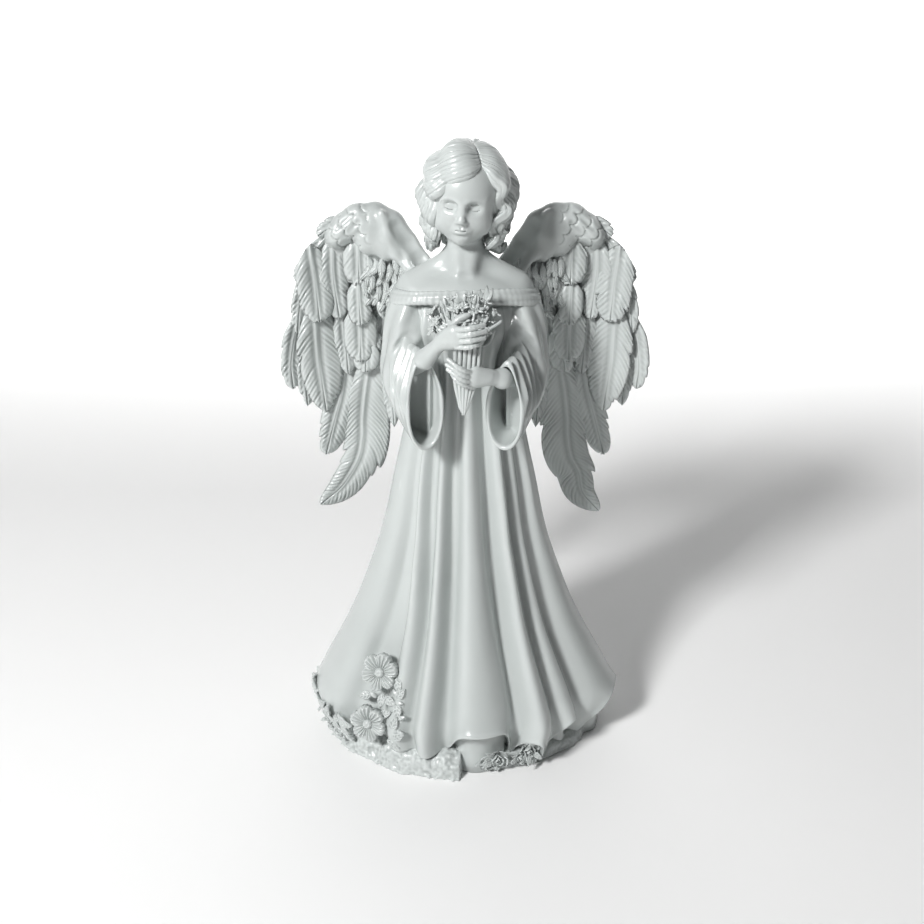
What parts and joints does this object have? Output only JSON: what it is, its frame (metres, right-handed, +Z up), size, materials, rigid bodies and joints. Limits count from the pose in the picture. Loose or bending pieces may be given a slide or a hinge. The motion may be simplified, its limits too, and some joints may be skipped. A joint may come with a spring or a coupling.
{
  "type": "resin angel figurine",
  "caption": "White cast-resin winged angel in a long fluted gown, holding a small bouquet; stands on a shelf as a decoration.",
  "frame": {"origin": "centre of the underside of the felt pad, on the surface the figurine stands on", "axes": "+Z up through the head, -Y the way the figure faces, +X towards the figure's own left wing"},
  "size_m": [0.1828, 0.1193, 0.2995],
  "materials": {
    "resin": "satin",
    "ground_resin": "satin",
    "steel": "satin",
    "rubber": "matte",
    "felt": "matte"
  },
  "bodies": {
    "root": {"gown_shell": "resin", "head_and_bust": "resin", "left_sleeve": "resin", "right_sleeve": "resin", "left_hand": "resin", "right_hand": "resin", "bouquet": "resin", "left_wing": "resin", "right_wing": "resin", "upper_hem_blossom": "resin", "lower_hem_blossom": "resin", "hem_leaves": "resin", "side_leaves": "resin", "ground_mound": "ground_resin", "ground_roses": "ground_resin", "neck_dowel": "steel", "left_wing_pins": "steel", "right_wing_pins": "steel", "pour_plug": "rubber", "felt_pad": "felt"}
  },
  "joints": []
}
